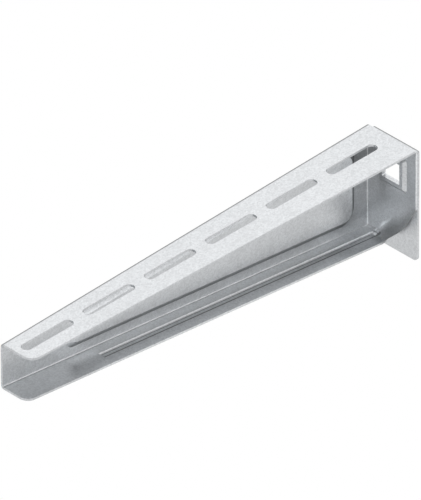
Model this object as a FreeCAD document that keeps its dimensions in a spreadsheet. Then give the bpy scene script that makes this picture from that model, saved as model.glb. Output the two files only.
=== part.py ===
import FreeCAD, Part
import math
import os
import re
import Sketcher

# Cantilever strut arm: a wall bracket for cable trays, punched, embossed and folded from one
# galvanised steel blank. A web carries a slotted top flange and a sloping bottom flange. At the
# wall the web is turned into an end flange, which stays joined to the bottom flange through a
# drawn corner, and the top flange is folded down behind it as a back plate.
#
# Millimetres. The origin is the centre of the square fixing hole in the wall face, X runs out
# along the arm to its free tip, Y from the web to the open side, and Z is up.

SIZES = {
    # Arm, from the wall face to the free tip
    "arm_length": 310.0,
    "sheet_gauge": 1.5,
    # Inner radii: of the two folds of the top flange, and of the folds round the channel
    "bend_inside": 1.5,
    "fold_inside": 0.8,
    "layer_gap": 0.1,
    # Places of the main faces round the fixing hole, at the wall
    "top_above_hole": 22.4,
    "web_beside_hole": 22.0,
    "edge_beside_hole": 19.1,
    # Outer heights of the arm, and how far its two long sides close in towards the tip
    "root_height": 73.9,
    "tip_height": 32.1,
    "web_set_in": 7.0,
    "edge_set_in": 8.4,
    "top_tip_radius": 6.5,
    # Bottom flange, measured from the web's outer face
    "bottom_width": 21.3,
    "bottom_tip_radius": 6.0,
    # Back plate
    "plate_height": 80.0,
    "plate_corner_radius": 3.0,
    "notch_width": 5.7,
    # Free edge of the end flange and the drawn corner: straight down, then slanting to the
    # bottom flange's near edge, which it meets at this place out from the wall
    "edge_straight": 42.5,
    "slant_middle_beside_web": 31.0,
    "slant_middle_drop": 61.6,
    "slant_radius": 4.0,
    "slant_bow_radius": 18.0,
    "slant_foot_out": 13.0,
    # Drawn corner between the end flange and the bottom flange
    "corner_start": 9.0,
    "corner_spread": 21.0,
    "corner_rise": 26.0,
    "corner_reach": 11.0,
    # Slots for the tray bolts
    "slot_length": 40.0,
    "slot_width": 7.0,
    "slot_pitch": 50.0,
    "slot_count": 6,
    "first_slot": 35.5,
    "slot_line_aside": 1.4,
    # Square fixing hole and the boss that it is punched in
    "hole_side": 14.2,
    "hole_corner_radius": 0.6,
    "boss_side": 23.6,
    "boss_corner_radius": 2.6,
    "boss_rise": 1.5,
    "boss_wall_run": 2.2,
    # Raised panel of the web: its foot outline, measured along the web. At the tip its raised
    # face has nearly sharp corners
    "panel_start": 14.7,
    "panel_end": 257.0,
    "panel_below_top": 8.0,
    "panel_above_bottom": 6.3,
    "panel_corner_radius": 10.0,
    "panel_face_radius": 1.0,
    "panel_rise": 3.0,
    "panel_wall_run": 4.6,
    # Bead pressed down into the bottom flange, measured from the web's outer face
    "bead_beside_web": 8.7,
    "bead_width": 5.0,
    "bead_start": 6.2,
    "bead_end": 238.0,
    "bead_depth": 1.0,
    "bead_wall_run": 1.0,
}

# Cutters reach this far past the metal that they cut
PAST = 12
# The legs of the folded plates run this far past their folds, into the metal that they join
LAP = 0.5
# Cutters through the whole arm, and through the sheets at one place, are this long
THROUGH = "(4 * plate_height)"
THROUGH_SHEETS = "(8 * sheet_gauge)"
# Points closer than this are the same point
TOUCH = 0.0001

Vector = FreeCAD.Vector

doc = FreeCAD.newDocument("strut_arm")
sheet = doc.addObject("Spreadsheet::Sheet", "Sizes")
for row, (word, size) in enumerate(SIZES.items(), start=1):
    sheet.set(f"A{row}", word)
    sheet.set(f"B{row}", str(size))
    sheet.setAlias(f"B{row}", word)
doc.recompute()


def sized(expression):
    """The expression with every size's name led by the name of the sheet."""
    return re.sub(r"[a-z_]+", lambda word: "Sizes." + word.group()
                  if word.group() in SIZES else word.group(), expression)


def worth(expression):
    """The number that an expression on the sizes gives now."""
    answer = sheet.evalExpression(sized(expression))
    return float(getattr(answer, "Value", answer))


def outline(sketch, *corners):
    """Draw a closed outline with sharp (x, y) and rounded (x, y, radius) corners, all bound."""
    points = [Vector(worth(corner[0]), worth(corner[1]), 0) for corner in corners]
    count = len(points)
    starts, ends, arcs = [], [], []
    for i, corner in enumerate(corners):
        back = (points[i - 1] - points[i]).normalize()
        ahead = (points[(i + 1) % count] - points[i]).normalize()
        radius = worth(corner[2]) if len(corner) > 2 else 0
        half = back.getAngle(ahead) / 2
        middle = (back + ahead).normalize()
        ends.append(points[i] + back * (radius / math.tan(half)))
        starts.append(points[i] + ahead * (radius / math.tan(half)))
        arcs.append(points[i] + middle * (radius / math.sin(half) - radius))
    lines = [sketch.addGeometry(Part.LineSegment(starts[i], ends[(i + 1) % count])) for i in range(count)]

    def bind(kind, name, expression, *places):
        index = sketch.addConstraint(Sketcher.Constraint(kind, *places, worth(expression)))
        sketch.renameConstraint(index, name)
        sketch.setExpression("Constraints." + name, sized(expression))

    for i, corner in enumerate(corners):
        line_in, line_out = lines[i - 1], lines[i]
        tag = f"_{line_out}"
        if len(corner) == 2:
            sketch.addConstraint(Sketcher.Constraint("Coincident", line_in, 2, line_out, 1))
            spot = (line_out, 1)
        else:
            arc = sketch.addGeometry(Part.Arc(ends[i], arcs[i], starts[i]))
            first = 1 if sketch.getPoint(arc, 1).distanceToPoint(ends[i]) < TOUCH else 2
            sketch.addConstraint(Sketcher.Constraint("Tangent", line_in, 2, arc, first))
            sketch.addConstraint(Sketcher.Constraint("Tangent", arc, 3 - first, line_out, 1))
            bind("Radius", "radius" + tag, corner[2], arc)
            spot = (sketch.addGeometry(Part.Point(points[i]), True), 1)
            sketch.addConstraint(Sketcher.Constraint("PointOnObject", *spot, line_in))
            sketch.addConstraint(Sketcher.Constraint("PointOnObject", *spot, line_out))
        bind("DistanceX", "across" + tag, corner[0], -1, 1, *spot)
        bind("DistanceY", "up" + tag, corner[1], -1, 1, *spot)


def sketch_on(body, name, plane, *outlines, base=("0", "0", "0"), turn="0"):
    """A sketch on one of the body's own planes, moved by base and turned about its upright."""
    sketch = body.newObject("Sketcher::SketchObject", name)
    support = next(item for item in body.Origin.OriginFeatures if item.Role == plane)
    sketch.AttachmentSupport = [(support, "")]
    sketch.MapMode = "FlatFace"
    if turn != "0":
        upright = FreeCAD.Rotation(Vector(0, 1, 0), worth(turn))
        sketch.AttachmentOffset = FreeCAD.Placement(Vector(), upright)
        sketch.setExpression("AttachmentOffset.Rotation.Angle", sized(turn))
    for axis, expression in zip("xyz", base):
        if expression != "0":
            sketch.setExpression("AttachmentOffset.Base." + axis, sized(expression))
    for corners in outlines:
        outline(sketch, *corners)
    doc.recompute()
    return sketch


def extrude(body, kind, sketch, length, reverse=False, both_ways=False, taper=None):
    """Pad or pocket a sketch in its body."""
    feature = body.newObject("PartDesign::" + kind, sketch.Name + "_" + kind.lower())
    feature.Profile = sketch
    feature.setExpression("Length", sized(length))
    feature.Reversed = reverse
    feature.Midplane = both_ways
    if taper:
        feature.setExpression("TaperAngle", sized(taper))
    sketch.Visibility = False
    doc.recompute()
    return feature


# Sizes that several sections work out in the same way

WEB_ANGLE = "atan(web_set_in / arm_length)"
FLOOR_ANGLE = "atan((root_height - tip_height) / arm_length)"
FOLD = "(sheet_gauge + bend_inside)"


def web_y(x, depth="0"):
    """Across, a plane parallel to the web, depth inside its outer face, at the place x."""
    return f"(-web_beside_hole + ({depth}) / cos({WEB_ANGLE}) + ({x}) * web_set_in / arm_length)"


def floor_z(x, height="0"):
    """Up, a plane parallel to the bottom flange, height above its lower face, at the place x."""
    return (f"(top_above_hole - root_height + ({height}) / cos({FLOOR_ANGLE})"
            f" + ({x}) * (root_height - tip_height) / arm_length)")


# Drawn corner. Where the end flange meets the bottom flange the sheet is a plain fold beside the
# web. From the bead outwards the fold opens: its upper edge climbs the end flange much further
# than its lower edge moves along the bottom flange, so the sheet leans out there. Each section
# is a conic, tangent to both flanges, with its middle pole on the line where they would meet.

STATIONS = 16


def corner_wedge(name, inset):
    """The solid between the two flange planes and the drawn corner's surface."""
    start = -SIZES["web_beside_hole"] - PAST / 2
    finish = SIZES["edge_beside_hole"] + 2 * PAST
    tilt = math.radians(worth(FLOOR_ANGLE))
    along = Vector(math.cos(tilt), 0, math.sin(tilt))
    upright = Vector(0, 0, 1)
    half_turn = (math.pi / 2 + tilt) / 2
    face_x = worth("sheet_gauge + layer_gap") + inset
    face_z = worth(floor_z(str(face_x), str(inset)))
    plain = (SIZES["fold_inside"] + SIZES["sheet_gauge"] - inset) * math.tan(half_turn)
    poles = []
    for i in range(STATIONS):
        y = start + (finish - start) * i / (STATIONS - 1)
        share = (y + SIZES["web_beside_hole"] - SIZES["corner_start"]) / SIZES["corner_spread"]
        share = min(max(share, 0), 1)
        opened = share * share * (3 - 2 * share)
        corner = Vector(face_x, y, face_z)
        upper = corner + upright * (plain + SIZES["corner_rise"] * opened)
        lower = corner + along * (plain + SIZES["corner_reach"] * opened)
        poles.append([upper, corner, lower])
    blend = Part.BSplineSurface()
    knots = list(range(STATIONS - 2))
    ends = [4] + [1] * (len(knots) - 2) + [4]
    weights = [[1, math.cos(half_turn), 1]] * STATIONS
    blend.buildFromPolesMultsKnots(poles, ends, [3, 3], knots, [0, 1], False, False, 3, 2, weights)
    upper_edge, lower_edge = blend.vIso(0).toShape(), blend.vIso(1).toShape()
    near_arc, far_arc = blend.uIso(knots[0]).toShape(), blend.uIso(knots[-1]).toShape()
    near, far = poles[0], poles[-1]
    ridge = Part.makeLine(near[1], far[1])
    near_up, near_out = Part.makeLine(near[0], near[1]), Part.makeLine(near[1], near[2])
    far_up, far_out = Part.makeLine(far[0], far[1]), Part.makeLine(far[1], far[2])
    rims = [[upper_edge, near_up, ridge, far_up], [lower_edge, near_out, ridge, far_out],
            [near_arc, near_up, near_out], [far_arc, far_up, far_out]]
    faces = [blend.toShape()] + [Part.Face(Part.Wire(Part.sortEdges(rim)[0])) for rim in rims]
    shell = Part.makeShell(faces)
    shell.sewShape()
    wedge = Part.makeSolid(shell)
    if wedge.Volume < 0:
        wedge.reverse()
    piece = doc.addObject("Part::Feature", name)
    piece.Shape = wedge
    return piece


# Channel: web, bottom flange and end flange, as the gap between a die form and a punch form.
# Both forms are the same block with the same folds, one sheet thickness apart.


def press_form(name, inset):
    """The block inside one side of the sheet, with the drawn corner and the folds at the web."""
    inside = "sheet_gauge" if inset else "0"
    face = "(sheet_gauge + layer_gap + " + inside + ")"
    far = f"(edge_beside_hole + {PAST})"
    body = doc.addObject("PartDesign::Body", name)
    plan = sketch_on(body, name + "_plan", "XY_Plane",
                     [(face, web_y(face, inside)), ("arm_length", web_y("arm_length", inside)),
                      ("arm_length", far), (face, far)],
                     base=("0", "0", "top_above_hole - sheet_gauge - layer_gap"))
    extrude(body, "Pad", plan, "plate_height", reverse=True)
    before, beyond = f"({face} - {PAST})", f"(arm_length + {PAST})"
    slope = sketch_on(body, name + "_slope", "XZ_Plane",
                      [(before, floor_z(before, inside)), (beyond, floor_z(beyond, inside)),
                       (beyond, "-plate_height"), (before, "-plate_height")])
    extrude(body, "Pocket", slope, THROUGH, both_ways=True)
    cut = doc.addObject("Part::Cut", name + "_cut")
    cut.Base = body
    cut.Tool = corner_wedge(name + "_wedge", worth(inside))
    doc.recompute()
    folded = doc.addObject("Part::Fillet", name + "_folded")
    folded.Base = cut
    radius = worth("fold_inside + sheet_gauge") - worth(inside)
    top, tip = worth("top_above_hole - sheet_gauge - layer_gap"), SIZES["arm_length"]

    def at_web_fold(edge):
        ends = [edge.valueAt(edge.FirstParameter), edge.valueAt(edge.LastParameter),
                edge.valueAt((edge.FirstParameter + edge.LastParameter) / 2)]
        on_web = all(abs(end.y - worth(web_y(str(end.x), inside))) < TOUCH for end in ends)
        on_top = all(abs(end.z - top) < TOUCH for end in ends)
        on_tip = all(abs(end.x - tip) < TOUCH for end in ends)
        return on_web and not on_top and not on_tip

    folded.Edges = [(number, radius, radius) for number, edge in enumerate(cut.Shape.Edges, 1)
                    if at_web_fold(edge)]
    doc.recompute()
    return folded


channel = doc.addObject("Part::Cut", "channel_blank")
channel.Base = press_form("die_form", 0)
channel.Tool = press_form("punch_form", 1)
doc.recompute()


# Top flange: an angle section run along the web, then trimmed in plan to its tapered outline
# with the rounded tip corner. Its leg stops at the fold's lower edge, where the web takes over.

REACH = (f"(-{PAST} - web_beside_hole)", f"(edge_beside_hole + 2 * {PAST})")


def plan_frame():
    """The outside of a frame-shaped cutter in plan, past everything."""
    left, right = f"(-{PAST})", f"(arm_length + {PAST})"
    return [(left, f"({REACH[0]} - {PAST})"), (right, f"({REACH[0]} - {PAST})"),
            (right, f"({REACH[1]} + {PAST})"), (left, f"({REACH[1]} + {PAST})")]


top_flange = doc.addObject("PartDesign::Body", "top_flange")
angle = sketch_on(top_flange, "top_angle", "YZ_Plane",
                  [("0", f"top_above_hole - {FOLD} - {LAP}"), ("0", "top_above_hole", FOLD),
                   (f"web_beside_hole + {REACH[1]}", "top_above_hole"),
                   (f"web_beside_hole + {REACH[1]}", "top_above_hole - sheet_gauge"),
                   ("sheet_gauge", "top_above_hole - sheet_gauge", "bend_inside"),
                   ("sheet_gauge", f"top_above_hole - {FOLD} - {LAP}")],
                  base=("-web_beside_hole", "0", "0"), turn=WEB_ANGLE)
extrude(top_flange, "Pad", angle, f"arm_length + {PAST}")
edge_tip = "(edge_beside_hole - edge_set_in)"
plan = sketch_on(top_flange, "top_plan", "XY_Plane", plan_frame(),
                 [(FOLD, REACH[0]), ("arm_length", REACH[0]),
                  ("arm_length", edge_tip, "top_tip_radius"), (FOLD, "edge_beside_hole")])
extrude(top_flange, "Pocket", plan, THROUGH, both_ways=True)


# Back plate: folded down from the top flange along the wall. The notch at the far corner
# lets the two folds of the top flange end without meeting.

back_plate = doc.addObject("PartDesign::Body", "back_plate")
angle = sketch_on(back_plate, "back_angle", "XZ_Plane",
                  [("0", "top_above_hole - plate_height"), ("0", "top_above_hole", FOLD),
                   (f"{FOLD} + {LAP}", "top_above_hole"),
                   (f"{FOLD} + {LAP}", "top_above_hole - sheet_gauge"),
                   ("sheet_gauge", "top_above_hole - sheet_gauge", "bend_inside"),
                   ("sheet_gauge", "top_above_hole - plate_height")],
                  base=("0", "0", "-edge_beside_hole"))
plain_plate = extrude(back_plate, "Pad", angle, "edge_beside_hole + web_beside_hole - notch_width")
rounding = back_plate.newObject("PartDesign::Fillet", "plate_corners")
foot = worth("top_above_hole - plate_height")
corners = [f"Edge{number}" for number, edge in enumerate(plain_plate.Shape.Edges, 1)
           if all(abs(vertex.Z - foot) < TOUCH for vertex in edge.Vertexes)
           and abs(edge.Vertexes[0].Y - edge.Vertexes[-1].Y) < TOUCH]
rounding.Base = (plain_plate, corners)
rounding.setExpression("Radius", "Sizes.plate_corner_radius")
doc.recompute()


# Trimming of the channel: the bottom flange's near edge runs parallel to the web, with a
# rounded tip corner, and the end flange's side edge slants down to it past the drawn corner.

trimmed = doc.addObject("PartDesign::Body", "trimmed_channel")
trimmed.BaseFeature = channel
near = [web_y(x, "bottom_width") for x in ("slant_foot_out", "arm_length")]
behind = f"(-{PAST} / 2)"
plan = sketch_on(trimmed, "bottom_plan", "XY_Plane", plan_frame(),
                 [(behind, REACH[0]), ("arm_length", REACH[0]), ("arm_length", near[1], "bottom_tip_radius"),
                  ("slant_foot_out", near[0]), ("slant_foot_out", REACH[1]), (behind, REACH[1])])
extrude(trimmed, "Pocket", plan, THROUGH, both_ways=True)
over, under = f"(top_above_hole + {PAST})", f"(top_above_hole - plate_height - {PAST})"
front = sketch_on(trimmed, "end_slant", "YZ_Plane",
                  [("edge_beside_hole", over), (REACH[1], over), (REACH[1], under), (near[0], under),
                   (near[0], floor_z("slant_foot_out", "sheet_gauge")),
                   ("slant_middle_beside_web - web_beside_hole", "top_above_hole - slant_middle_drop",
                    "slant_bow_radius"),
                   ("edge_beside_hole", "top_above_hole - edge_straight", "slant_radius")])
extrude(trimmed, "Pocket", front, "slant_foot_out", reverse=True)
above = sketch_on(trimmed, "web_top_line", "XZ_Plane",
                  [(FOLD, f"top_above_hole - {FOLD}"), (f"arm_length + {PAST}", f"top_above_hole - {FOLD}"),
                   (f"arm_length + {PAST}", over), (FOLD, over)])
extrude(trimmed, "Pocket", above, THROUGH, both_ways=True)
beside = "(notch_width - web_beside_hole - layer_gap)"
front_back = "(sheet_gauge + layer_gap)"
under_top = f"(top_above_hole - {front_back})"
above = sketch_on(trimmed, "end_top_line", "XZ_Plane",
                  [(f"-{PAST}", f"top_above_hole - {PAST}"), (front_back, f"top_above_hole - {PAST}"),
                   (front_back, under_top, "bend_inside - layer_gap"), (f"{PAST}", under_top),
                   (f"{PAST}", over), (f"-{PAST}", over)],
                  base=("0", "0", f"-({beside})"))
extrude(trimmed, "Pocket", above, f"edge_beside_hole + web_beside_hole + 2 * {PAST}")

blank = doc.addObject("Part::MultiFuse", "folded_blank")
blank.Shapes = [trimmed, top_flange, back_plate]
blank.Refine = True
doc.recompute()


# The arm itself: the folded blank with its embossed panel, bead and boss, its slots and its hole

arm = doc.addObject("PartDesign::Body", "strut_arm")
arm.BaseFeature = blank
doc.recompute()


def emboss(name, plane, corners, rise, run, raised_from, sunk_from, turn="0", outward=True):
    """Raise a tapered boss on one face of the sheet and sink its match into the other face."""
    taper = f"-atan(({run}) / ({rise}))"
    boss = sketch_on(arm, name + "_raised", plane, corners[0], base=raised_from, turn=turn)
    extrude(arm, "Pad", boss, rise, reverse=not outward, taper=taper)
    hollow = sketch_on(arm, name + "_sunk", plane, corners[1], base=sunk_from, turn=turn)
    extrude(arm, "Pocket", hollow, rise, reverse=outward, taper=taper)


def wall_shift(rise, run):
    """How far the sunk outline lies inside the raised one, for a wall of even thickness."""
    return f"(sheet_gauge * tan(atan(({rise}) / ({run})) / 2))"


# Panel of the web, parallel to its edges
PANEL_SHIFT = wall_shift("panel_rise", "panel_wall_run")


def panel_outline(shift):
    """The panel's foot in the web's own plane, moved in by shift."""
    start, end = f"(panel_start + {shift})", f"(panel_end - {shift})"
    top = f"(top_above_hole - panel_below_top - {shift})"
    radius = f"(panel_corner_radius - {shift})"
    low = [floor_z(x, f"sheet_gauge + panel_above_bottom + {shift}") for x in (start, end)]
    tip_radius = "(panel_wall_run + panel_face_radius)"
    return [(start, low[0], radius), (end, low[1], tip_radius), (end, top, tip_radius), (start, top, radius)]


def web_plane(depth):
    """Base of a plane parallel to the web, depth inside its outer face."""
    return (f"-({depth}) * sin({WEB_ANGLE})", "0", f"web_beside_hole - ({depth}) * cos({WEB_ANGLE})")


emboss("panel", "XZ_Plane", (panel_outline("0"), panel_outline(PANEL_SHIFT)), "panel_rise", "panel_wall_run",
       web_plane("sheet_gauge"), web_plane("0"), turn=WEB_ANGLE, outward=False)


# Bead pressed down into the bottom flange, along the web
BEAD_SHIFT = wall_shift("bead_depth", "bead_wall_run")


def floor_plane(height):
    """Base of a plane parallel to the bottom flange, height above its lower face."""
    return ("0", "0", floor_z("0", height))


def bead_outline(shift):
    """The bead's mouth in the bottom flange's own plane, moved in by shift."""
    near, far = f"(bead_beside_web + {shift})", f"(bead_beside_web + bead_width - {shift})"
    start, end = f"(bead_start + {shift})", f"(bead_end - {shift})"
    plan = [(start, near), (end, near), (end, far), (start, far)]
    return [(f"({x} / cos({FLOOR_ANGLE}))", web_y(x, y)) for x, y in plan]


TILT = f"(-({FLOOR_ANGLE}))"
bead_outlines = (bead_outline(f"(-{BEAD_SHIFT})"), bead_outline("0"))
emboss("bead", "XY_Plane", bead_outlines, "bead_depth", "bead_wall_run",
       floor_plane("0"), floor_plane("sheet_gauge"), turn=TILT, outward=False)


# Boss round the fixing hole: both layers of the head are pressed out together, so the outline
# gets smaller from the front layer's face to the wall face


def boss_outline(depth):
    """The boss in a plane that lies depth behind the front layer's face."""
    half = f"(boss_side / 2 - ({depth}) * tan(atan(boss_rise / boss_wall_run) / 2))"
    return [(f"-{half}", f"-{half}", "boss_corner_radius"), (half, f"-{half}", "boss_corner_radius"),
            (half, half, "boss_corner_radius"), (f"-{half}", half, "boss_corner_radius")]


front_outlines = (boss_outline("0"), boss_outline("sheet_gauge"))
emboss("front_boss", "YZ_Plane", front_outlines, "boss_rise", "boss_wall_run",
       ("0", "0", "2 * sheet_gauge + layer_gap"), ("0", "0", "sheet_gauge + layer_gap"))
back_outlines = (boss_outline("sheet_gauge + layer_gap"), boss_outline("2 * sheet_gauge + layer_gap"))
emboss("back_boss", "YZ_Plane", back_outlines, "boss_rise", "boss_wall_run",
       ("0", "0", "sheet_gauge"), ("0", "0", "0"))


# Square fixing hole through both layers
square = sketch_on(arm, "fixing_hole", "YZ_Plane",
                   [(f"{a} * hole_side / 2", f"{b} * hole_side / 2", "hole_corner_radius")
                    for a, b in ((-1, -1), (1, -1), (1, 1), (-1, 1))])
extrude(arm, "Pocket", square, THROUGH_SHEETS, both_ways=True)


# Slots for the tray bolts, in one line along the top flange
slot = arm.newObject("Sketcher::SketchObject", "tray_slot")
slot.AttachmentSupport = [(next(item for item in arm.Origin.OriginFeatures if item.Role == "XY_Plane"), "")]
slot.MapMode = "FlatFace"
slot.setExpression("AttachmentOffset.Base.z", sized("top_above_hole"))
middle, aside = worth("first_slot"), worth("-slot_line_aside")
run, round_end = worth("(slot_length - slot_width) / 2"), worth("slot_width / 2")
centres = [Vector(middle - run, aside, 0), Vector(middle + run, aside, 0)]
up = Vector(0, round_end, 0)
arcs = [slot.addGeometry(Part.ArcOfCircle(Part.Circle(centres[0], Vector(0, 0, 1), round_end),
                                          math.pi / 2, 3 * math.pi / 2)),
        slot.addGeometry(Part.ArcOfCircle(Part.Circle(centres[1], Vector(0, 0, 1), round_end),
                                          -math.pi / 2, math.pi / 2))]
sides = [slot.addGeometry(Part.LineSegment(centres[0] + up, centres[1] + up)),
         slot.addGeometry(Part.LineSegment(centres[0] - up, centres[1] - up))]
for arc, end, side in ((0, 1, 0), (0, 2, 1)):
    slot.addConstraint(Sketcher.Constraint("Tangent", arcs[arc], end, sides[side], 1))
for arc, end, side in ((1, 1, 1), (1, 2, 0)):
    slot.addConstraint(Sketcher.Constraint("Tangent", arcs[arc], end, sides[side], 2))
slot.addConstraint(Sketcher.Constraint("Equal", *arcs))
slot.addConstraint(Sketcher.Constraint("Horizontal", sides[0]))
for kind, name, expression, places in (
        ("Radius", "end_radius", "slot_width / 2", (arcs[0],)),
        ("DistanceX", "run", "slot_length - slot_width", (arcs[0], 3, arcs[1], 3)),
        ("DistanceX", "start", "first_slot - (slot_length - slot_width) / 2", (-1, 1, arcs[0], 3)),
        ("DistanceY", "aside", "-slot_line_aside", (-1, 1, arcs[0], 3))):
    index = slot.addConstraint(Sketcher.Constraint(kind, *places, worth(expression)))
    slot.renameConstraint(index, name)
    slot.setExpression("Constraints." + name, sized(expression))
doc.recompute()
punched = extrude(arm, "Pocket", slot, THROUGH_SHEETS, both_ways=True)
row = arm.newObject("PartDesign::LinearPattern", "slot_row")
row.Originals = [punched]
row.Direction = (next(item for item in arm.Origin.OriginFeatures if item.Role == "X_Axis"), [""])
row.setExpression("Length", sized("slot_pitch * (slot_count - 1)"))
row.setExpression("Occurrences", sized("slot_count"))
arm.Tip = row
doc.recompute()

for item in doc.Objects:
    if "Invalid" in item.State or "Error" in item.State:
        raise RuntimeError(f"{item.Name} did not recompute: {item.State}")
    solid = hasattr(item, "Shape") and item.TypeId != "Sketcher::SketchObject"
    if solid and (item.Shape.isNull() or not item.Shape.isValid()):
        raise RuntimeError(f"{item.Name} has no valid shape")
if len(arm.Shape.Solids) != 1:
    raise RuntimeError("the arm is not one solid")

arm.Label = "strut_arm"
arm.Placement = FreeCAD.Placement(Vector(0, 0, 0), FreeCAD.Rotation())
os.makedirs("parts", exist_ok=True)
arm.Shape.exportStep("parts/strut_arm.step")
box = arm.Shape.optimalBoundingBox()
print(f"strut_arm {box.XLength:.1f} x {box.YLength:.1f} x {box.ZLength:.1f} mm, {arm.Shape.Volume:.0f} mm3")
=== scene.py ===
import math

import bpy
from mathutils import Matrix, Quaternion, Vector

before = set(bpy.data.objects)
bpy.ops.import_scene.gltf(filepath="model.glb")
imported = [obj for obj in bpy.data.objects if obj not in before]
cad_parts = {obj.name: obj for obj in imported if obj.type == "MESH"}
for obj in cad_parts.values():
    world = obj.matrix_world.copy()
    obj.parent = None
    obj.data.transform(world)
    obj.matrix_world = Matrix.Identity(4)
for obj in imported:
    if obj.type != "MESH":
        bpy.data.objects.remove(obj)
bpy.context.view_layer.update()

# Strut arm, which carries a cable tray out from a wall or a strut and is bolted there through
# its square hole. It is punched, pressed and folded from one steel sheet that already had its
# zinc coat: satin grey with a fine spangle. Painted shade and painted highlights lie on that grey
# at its folds, panel, bead, bottom flange, end flange and drawn corner.


class Shade:
    """One output socket of a material's nodes, which works in sums like a plain number."""

    def __init__(self, tree, socket=None):
        self.tree = tree
        self.socket = socket

    def node(self, kind, settings, sockets, out=0):
        """Add a node. Its settings come first, then a value or a link for each named socket."""
        made = self.tree.nodes.new(kind)
        for name, value in settings.items():
            setattr(made, name, value)
        for name, value in sockets.items():
            if isinstance(value, Shade):
                self.tree.links.new(value.socket, made.inputs[name])
            else:
                made.inputs[name].default_value = value
        return Shade(self.tree, made.outputs[out] if made.outputs else None)

    def maths(self, operation, *others):
        """Add a Math node, which takes this value first and then the others."""
        return self.node("ShaderNodeMath", {"operation": operation}, dict(enumerate((self, *others))))

    def __add__(self, other):
        return self.maths("ADD", other)

    def __mul__(self, other):
        return self.maths("MULTIPLY", other)

    def __sub__(self, other):
        return self.maths("SUBTRACT", other)

    def __rsub__(self, other):
        return (self * -1) + other

    __radd__ = __add__
    __rmul__ = __mul__

    def most(self, *others):
        """The greatest of this value and the others."""
        greatest = self
        for other in others:
            greatest = greatest.maths("MAXIMUM", other)
        return greatest

    def climb(self, low, high):
        """0 up to low, 1 from high on, and a smooth climb between them."""
        return self.node("ShaderNodeMapRange", {"interpolation_type": "SMOOTHSTEP"},
                         {"Value": self, "From Min": low, "From Max": high})

    def fade(self, low, high):
        """1 up to low, 0 from high on, and a smooth fall between them."""
        return 1 - self.climb(low, high)

    def between(self, low, high, soft):
        """1 between low and high, and 0 outside, with edges as wide as soft."""
        return self.climb(low - soft, low) * self.fade(high, high + soft)

    def or_share(self, share):
        """1 where this is 1, and share where it is 0."""
        return self * (1 - share) + share

    def axes(self):
        """The three parts of a vector."""
        return [self.node("ShaderNodeSeparateXYZ", {}, {"Vector": self}, out=axis) for axis in "XYZ"]


def new_tree(owner):
    """An empty node tree of a material or of the world."""
    owner.use_nodes = True
    owner.node_tree.nodes.clear()
    return Shade(owner.node_tree)


zinc = bpy.data.materials.new("zinc_coated_steel")
shade = new_tree(zinc)
place = shade.node("ShaderNodeTexCoord", {}, {}, out="Object")
face_x, face_y, face_z = shade.node("ShaderNodeTexCoord", {}, {}, out="Normal").axes()

# Spangle: single crystals, patches of them, and wide clouds. Each kind has its number to the
# metre and its share of the tone. The patches differ in roughness too
MEAN = 0.5
CRYSTALS, CRYSTAL_SHARE = 1100.0, 0.12
PATCHES, PATCH_SHARE, PATCH_ROUGHNESS = 260.0, 0.11, 0.16
CLOUDS, CLOUD_SHARE = 30.0, 0.05
crystals = shade.node("ShaderNodeTexVoronoi", {"feature": "F1"}, {"Vector": place, "Scale": CRYSTALS},
                      out="Color")
crystal = shade.node("ShaderNodeSeparateColor", {}, {"Color": crystals}) - MEAN
patch = shade.node("ShaderNodeTexNoise", {}, {"Vector": place, "Scale": PATCHES, "Detail": 3.0}) - MEAN
cloud = shade.node("ShaderNodeTexNoise", {}, {"Vector": place, "Scale": CLOUDS, "Detail": 2.0}) - MEAN
spangle = crystal * CRYSTAL_SHARE + patch * PATCH_SHARE + cloud * CLOUD_SHARE

# Places on the arm, in millimetres. The web leans in towards the tip and the bottom flange
# climbs, so a place has its depth behind the web's outer face, its height over the bottom
# flange's lower face, and its drop below the top face
MM_IN_METRE = 1000.0
WEB_FACE, WEB_LEAN = -22.0, 7.0 / 310.0
BOTTOM_FACE, BOTTOM_CLIMB = -51.5, 41.8 / 310.0
TOP_FACE = 22.4
x, y, z = [part * MM_IN_METRE for part in place.axes()]
depth = y - WEB_FACE - x * WEB_LEAN
height = z - BOTTOM_FACE - x * BOTTOM_CLIMB
drop = TOP_FACE - z

# Widths of the soft edge round a place, from the sharpest on
HAIR, LINE, THIN, SOFT, WIDE = 0.1, 0.3, 0.4, 0.5, 1.0

# Folds of the top flange, to the web and to the back plate: painted shade round the outside of
# the bend, and most where it faces up
BEND_ROUND = (1.8, 3.0)
BEND_UP, BEND_SIDE_SHARE = (0.1, 0.6), 0.3
BEND_SHADE = 0.7
long_bend = (depth * depth + drop * drop).maths("SQRT")
short_bend = (x * x + drop * drop).maths("SQRT")
bend_shade = long_bend.maths("MINIMUM", short_bend).fade(*BEND_ROUND)
bend_shade = bend_shade * face_z.climb(*BEND_UP).or_share(BEND_SIDE_SHARE)

# Folds of the channel, each where a face turns two ways at once. The two at the bottom flange
# have painted shade: the long one to the web, and the foot of the end flange. The upright one,
# of web and end flange, has a painted highlight
TWO_WAYS = (0.1, 0.3)
FOLD_HEIGHT = (3.0, 4.0)
LONG_FOLD_DEPTH, LONG_FOLD_SHADE = (0.5, 3.0), 0.2
FOOT_FOLD, FOOT_FOLD_END, FOOT_FOLD_SHADE = (2.4, 8.0), (-14.0, -13.0), 0.45
UPRIGHT_FOLD, UPRIGHT_FOLD_END, UPRIGHT_FOLD_HIGHLIGHT = (5.0, 6.0), (-18.5, -18.0), 0.15
near_bottom = height.fade(*FOLD_HEIGHT)
long_fold = (face_y * face_z).climb(*TWO_WAYS) * depth.between(*LONG_FOLD_DEPTH, LINE) * near_bottom
foot_fold = (face_x * face_z).climb(*TWO_WAYS) * x.between(*FOOT_FOLD, THIN)
foot_fold = foot_fold * near_bottom * y.fade(*FOOT_FOLD_END)
upright_fold = (face_x * face_y).climb(*TWO_WAYS) * x.fade(*UPRIGHT_FOLD) * y.fade(*UPRIGHT_FOLD_END)

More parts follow.
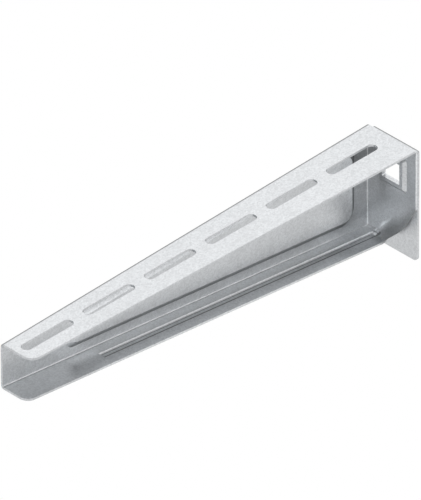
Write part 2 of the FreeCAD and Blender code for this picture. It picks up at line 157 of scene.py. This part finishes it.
# Raised panel of the web
PANEL_DEPTH, PANEL_LENGTH = (-1.0, 6.0), (12.0, 262.0)
PANEL_HEIGHT, PANEL_DROP = (5.0, 70.0), (6.0, 70.0)
panel = depth.between(*PANEL_DEPTH, SOFT) * x.between(*PANEL_LENGTH, WIDE)
panel = panel * height.between(*PANEL_HEIGHT, WIDE) * drop.between(*PANEL_DROP, WIDE)

# Its sides have painted shade, most on the one towards the wall and at their foot. The one
# towards the tip has none, and the upper one and the web's outer face have only a share of it
FLAT, FACES_OPEN, FACES_UP, FACES_ALONG = (0.84, 0.97), (-0.2, 0.2), (0.1, 0.4), (0.2, 0.5)
SIDE_SHARE, SIDE_SHADE = 0.3, 0.6
WALL_SIDE_OPEN, WALL_SIDE_SHADE = (0.0, 0.2), 0.75
SIDE_FOOT, SIDE_HEAD_SHARE = (1.8, 4.4), 0.5
panel_side_shade = panel * face_y.maths("ABSOLUTE").fade(*FLAT) * face_y.climb(*FACES_OPEN).or_share(SIDE_SHARE)
panel_side_shade = panel_side_shade * face_x.fade(*FACES_ALONG) * face_z.fade(*FACES_UP).or_share(SIDE_SHARE)
wall_side_shade = panel * (face_x * -1).climb(*FACES_ALONG) * face_y.climb(*WALL_SIDE_OPEN)
panel_side_shade = (panel_side_shade * SIDE_SHADE).most(wall_side_shade * WALL_SIDE_SHADE)
panel_side_shade = panel_side_shade * depth.fade(*SIDE_FOOT).or_share(SIDE_HEAD_SHARE)

# Its face has painted light near the wall
PANEL_FACE, PANEL_RAISED, PANEL_END = (0.9, 0.97), (3.0, 4.0), (18.0, 62.0)
PANEL_END_LIGHT = 0.3
panel_end_light = panel * face_y.climb(*PANEL_FACE) * depth.climb(*PANEL_RAISED) * x.fade(*PANEL_END)

# Recess of web, end flange and top flange: painted shade darkens the web there on its open
# side, and most near the top flange
RECESS_START, RECESS_END = (2.4, 3.0), (30.0, 44.0)
RECESS_DEPTH, RECESS_OPEN = (-0.5, 2.5), (0.0, 0.5)
RECESS_DROP, RECESS_SHADE = (60.0, 75.0), 0.1
RECESS_TOP_DROP, RECESS_TOP_SHADE = (22.0, 29.0), 0.35
recess_shade = x.climb(*RECESS_START) * x.fade(*RECESS_END) * depth.between(*RECESS_DEPTH, SOFT)
recess_shade = recess_shade * face_y.climb(*RECESS_OPEN)
recess_shade = recess_shade * (drop.fade(*RECESS_DROP) * RECESS_SHADE + drop.fade(*RECESS_TOP_DROP) * RECESS_TOP_SHADE)

# Bead of the bottom flange: painted shade on both sides, and most on its open one. Where it
# runs into the drawn corner, its edge towards the web has a painted highlight
BEAD_LENGTH, BEAD_HEIGHT = (2.6, 238.0), (2.0, 3.0)
BEAD_WEB_SIDE, BEAD_WEB_SIDE_SHADE = (9.4, 10.3), 0.38
BEAD_OPEN_SIDE, BEAD_OPEN_SIDE_SHADE = (12.5, 14.1), 0.72
BEAD_EDGE, BEAD_EDGE_LENGTH, BEAD_EDGE_HEIGHT = (9.2, 9.8), (2.4, 5.0), (2.5, 3.5)
BEAD_EDGE_HIGHLIGHT = 0.5
on_bottom = height.fade(*BEAD_HEIGHT)
along_bead = x.between(*BEAD_LENGTH, SOFT) * on_bottom
bead_web_side = depth.between(*BEAD_WEB_SIDE, LINE) * along_bead
bead_open_side = depth.between(*BEAD_OPEN_SIDE, LINE) * along_bead
bead_edge = depth.between(*BEAD_EDGE, LINE) * x.between(*BEAD_EDGE_LENGTH, SOFT)
bead_edge = bead_edge * height.fade(*BEAD_EDGE_HEIGHT)

# The bottom flange has painted light from the bead to its free edge, and round the bead's tip end
BOTTOM_LIGHT_DEPTH, BOTTOM_LIGHT_START, BOTTOM_LIGHT_END = (9.9, 10.4), (30.0, 110.0), (242.0, 260.0)
BOTTOM_LIGHT = 0.14
TIP_END, TIP_END_EDGE = (242.0, 254.0), 8.0
TIP_END_DEPTH, TIP_END_DEPTH_EDGE = (5.0, 15.0), 3.0
TIP_END_LIGHT = 0.182
bottom_light_band = depth.climb(*BOTTOM_LIGHT_DEPTH) * x.climb(*BOTTOM_LIGHT_START) * x.fade(*BOTTOM_LIGHT_END)
tip_end = x.between(*TIP_END, TIP_END_EDGE) * depth.between(*TIP_END_DEPTH, TIP_END_DEPTH_EDGE)
bottom_light = (bottom_light_band * BOTTOM_LIGHT).most(tip_end * TIP_END_LIGHT) * on_bottom

# Drawn corner. Its upper edge slants over the end flange, with a painted highlight along it,
# strong beside the bead and weak further out, inside a wider, fainter painted sheen. Below the
# edge the corner has painted shade
UPPER_EDGE, UPPER_EDGE_RISE = -35.1, 1.07
CORNER_LENGTH, CORNER_START = (2.4, 16.0), (-14.5, -13.5)
RIDGE_BELOW, RIDGE_ABOVE = (-1.2, 0.2), (0.2, 3.5)
RIDGE_START, RIDGE_END, RIDGE_HIGHLIGHT = (-11.5, -8.5), (-8.0, 4.0), 0.5
SHEEN_BELOW, SHEEN_ABOVE = (-3.0, 2.0), (2.0, 24.0)
SHEEN_START, SHEEN_END, SHEEN_LIGHT = (-14.0, -4.0), (2.0, 18.0), 0.12
DRAWN_BELOW, DRAWN_END, DRAWN_SHADE = (-9.0, 0.0), (8.0, 16.0), 0.4
above = z - UPPER_EDGE - y * UPPER_EDGE_RISE
corner = x.between(*CORNER_LENGTH, THIN) * y.climb(*CORNER_START)
ridge_highlight = above.climb(*RIDGE_BELOW) * above.fade(*RIDGE_ABOVE) * y.climb(*RIDGE_START) * y.fade(*RIDGE_END)
corner_sheen = above.climb(*SHEEN_BELOW) * above.fade(*SHEEN_ABOVE) * y.climb(*SHEEN_START) * y.fade(*SHEEN_END)
corner_highlight = (ridge_highlight * RIDGE_HIGHLIGHT).most(corner_sheen * SHEEN_LIGHT) * corner
drawn_shade = above.fade(*DRAWN_BELOW) * x.fade(*DRAWN_END) * corner

# End flange: painted light on a place below the boss of the square hole
BOSS_FOOT_Y, BOSS_FOOT_Z = -6.5, -19.0
BOSS_FOOT_ROUND, BOSS_FOOT_LENGTH, BOSS_FOOT_LIGHT = (1.0, 9.0), (2.4, 5.0), 0.22
beside, over = y - BOSS_FOOT_Y, z - BOSS_FOOT_Z
boss_foot_light = (beside * beside + over * over).maths("SQRT").fade(*BOSS_FOOT_ROUND)
boss_foot_light = boss_foot_light * x.between(*BOSS_FOOT_LENGTH, THIN)

# Free edge of the end flange: cut through the coat, so bare steel and brighter than the zinc
CUT_FACE, CUT_START, CUT_LENGTH, CUT_SHINE = (0.9, 0.98), (18.0, 18.6), (1.6, 3.2), 0.3
cut_edge = face_y.climb(*CUT_FACE) * y.climb(*CUT_START) * x.between(*CUT_LENGTH, HAIR)

# The zinc's own tone, bluish tint and roughness. The painted shade and the recess's painted
# shade take from the tone, and the painted light and the cut edge's bare steel add to it. A Mix
# node has sockets of one name for numbers and for colours, so the colours' go by number
ZINC_TONE, ZINC_TINT, ZINC_ROUGHNESS = 0.575, (0.978, 1.0, 1.022, 1.0), 0.34
FACTOR, FIRST_COLOUR, SECOND_COLOUR, MIXED_COLOUR = 0, 6, 7, 2
painted_shade = panel_side_shade.most(
    bend_shade * BEND_SHADE, long_fold * LONG_FOLD_SHADE, foot_fold * FOOT_FOLD_SHADE, drawn_shade * DRAWN_SHADE,
    bead_web_side * BEAD_WEB_SIDE_SHADE, bead_open_side * BEAD_OPEN_SIDE_SHADE)
painted_light_and_bare_steel = corner_highlight + bottom_light + upright_fold * UPRIGHT_FOLD_HIGHLIGHT + bead_edge * BEAD_EDGE_HIGHLIGHT
painted_light_and_bare_steel = painted_light_and_bare_steel + panel_end_light * PANEL_END_LIGHT + boss_foot_light * BOSS_FOOT_LIGHT + cut_edge * CUT_SHINE
tone = (ZINC_TONE + spangle) * (1 - painted_shade) * (1 - recess_shade) * (1 + painted_light_and_bare_steel)
colour = shade.node("ShaderNodeMix", {"data_type": "RGBA", "blend_type": "MULTIPLY"},
                    {FACTOR: 1.0, FIRST_COLOUR: tone, SECOND_COLOUR: ZINC_TINT}, out=MIXED_COLOUR)
rough = ZINC_ROUGHNESS + patch * PATCH_ROUGHNESS
surface = shade.node("ShaderNodeBsdfPrincipled", {},
                     {"Base Color": colour, "Metallic": 1.0, "Roughness": rough})
shade.node("ShaderNodeOutputMaterial", {}, {"Surface": surface})
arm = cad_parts["strut_arm"]
for slot in arm.material_slots:
    slot.material = zinc

# Studio. The arm hangs in the air in front of a white background, as in the photo, over a pale
# floor well below it. Three soft lights stand round it: a weak one over its wall end, one low
# beyond its open side, and one high before its tip.


def seen_white(shade):
    """1 for the camera's own rays and for those that metal or glass sends on, and 0 for the rest."""
    camera_ray, glossy_ray, glass_ray = [shade.node("ShaderNodeLightPath", {}, {}, out=name) for name in
                                         ("Is Camera Ray", "Is Glossy Ray", "Is Transmission Ray")]
    return camera_ray.most(glossy_ray, glass_ray)


WHITE, WHITE_STRENGTH = (1.0, 1.0, 1.0, 1.0), 1.0
PALE = (0.8, 0.8, 0.8, 1.0)
HALF, LEVEL = 30.0, -0.6
floor_corners = [(-HALF, -HALF, LEVEL), (HALF, -HALF, LEVEL), (HALF, HALF, LEVEL), (-HALF, HALF, LEVEL)]
floor_mesh = bpy.data.meshes.new("floor")
floor_mesh.from_pydata(floor_corners, [], [(0, 1, 2, 3)])
floor = bpy.data.objects.new("floor", floor_mesh)
bpy.context.scene.collection.objects.link(floor)
paint = bpy.data.materials.new("floor_paint")
shade = new_tree(paint)
matt = shade.node("ShaderNodeBsdfDiffuse", {}, {"Color": PALE})
white = shade.node("ShaderNodeEmission", {}, {"Color": WHITE, "Strength": WHITE_STRENGTH})
shown = shade.node("ShaderNodeMixShader", {}, {0: seen_white(shade), 1: matt, 2: white})
shade.node("ShaderNodeOutputMaterial", {}, {"Surface": shown})
floor_mesh.materials.append(paint)

GLOW_STRENGTH = 0.6
studio = bpy.data.worlds.new("studio")
bpy.context.scene.world = studio
shade = new_tree(studio)
glow = shade.node("ShaderNodeBackground", {}, {"Color": WHITE, "Strength": GLOW_STRENGTH})
backdrop = shade.node("ShaderNodeBackground", {}, {"Color": WHITE, "Strength": WHITE_STRENGTH})
shown = shade.node("ShaderNodeMixShader", {}, {0: seen_white(shade), 1: glow, 2: backdrop})
shade.node("ShaderNodeOutputWorld", {}, {"Surface": shown})

ARM_MIDDLE = Vector((0.155, 0.0, -0.01))
LIGHT_AWAY, LIGHT_WIDTH = 4.0, 2.0
for name, direction, watts in (("top_light", (-0.53, -0.55, 0.65), 7.0),
                               ("side_light", (-0.42, 0.88, 0.13), 31.0),
                               ("front_light", (0.45, 0.60, 0.66), 48.0)):
    data = bpy.data.lights.new(name, "AREA")
    data.shape, data.size, data.energy = "SQUARE", LIGHT_WIDTH, watts
    light = bpy.data.objects.new(name, data)
    outward = Vector(direction).normalized()
    light.location = ARM_MIDDLE + outward * LIGHT_AWAY
    light.rotation_euler = outward.to_track_quat("Z", "Y").to_euler()
    bpy.context.scene.collection.objects.link(light)

# Camera. The photo is a view from the tip and the open side, with the arm's three directions
# nearly parallel, as a very long lens far away gives it.

AZIMUTH, ELEVATION, ROLL = math.radians(135.09), math.radians(35.06), math.radians(-0.18)
AIM, CAMERA_AWAY = Vector((0.15356, -0.0002, 0.01708)), 11.295
lens = bpy.data.cameras.new("camera")
lens.lens = 1400.0
lens.sensor_width = 36.0
lens.clip_end = 100.0
back = Vector((math.sin(AZIMUTH) * math.cos(ELEVATION), -math.cos(AZIMUTH) * math.cos(ELEVATION),
               math.sin(ELEVATION)))
camera = bpy.data.objects.new("camera", lens)
camera.location = AIM + back * CAMERA_AWAY
camera.rotation_euler = (back.to_track_quat("Z", "Y") @ Quaternion((0.0, 0.0, 1.0), ROLL)).to_euler()
bpy.context.scene.collection.objects.link(camera)
bpy.context.scene.camera = camera
bpy.context.scene.view_settings.view_transform = "Standard"
